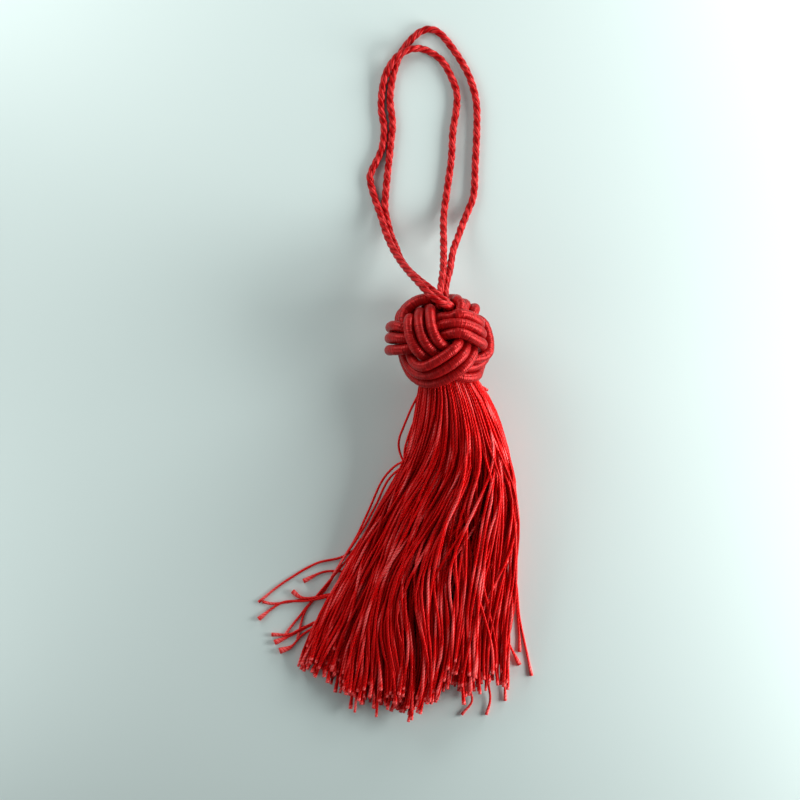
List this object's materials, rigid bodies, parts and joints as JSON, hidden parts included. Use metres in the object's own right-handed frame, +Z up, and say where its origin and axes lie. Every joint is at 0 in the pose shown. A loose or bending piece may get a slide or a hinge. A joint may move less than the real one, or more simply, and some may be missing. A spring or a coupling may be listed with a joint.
{
  "type": "silk tassel",
  "caption": "Silk tassel: a ball knotted from satin cord over a bound skirt of twisted threads, with two hanging loops of twisted cord.",
  "frame": {"origin": "the spot under the knotted ball where the tassel rests on the surface", "axes": "+Z up from the surface it lies on, +Y along the tassel from the skirt towards the hanging loops, +X to the right"},
  "size_m": [0.0438, 0.1375, 0.0205],
  "materials": {
    "cord_silk": "satin",
    "thread_silk": "satin"
  },
  "bodies": {
    "root": {"knot": "cord_silk", "skirt": "thread_silk", "loop_outer": "thread_silk", "loop_inner": "thread_silk"}
  },
  "joints": []
}
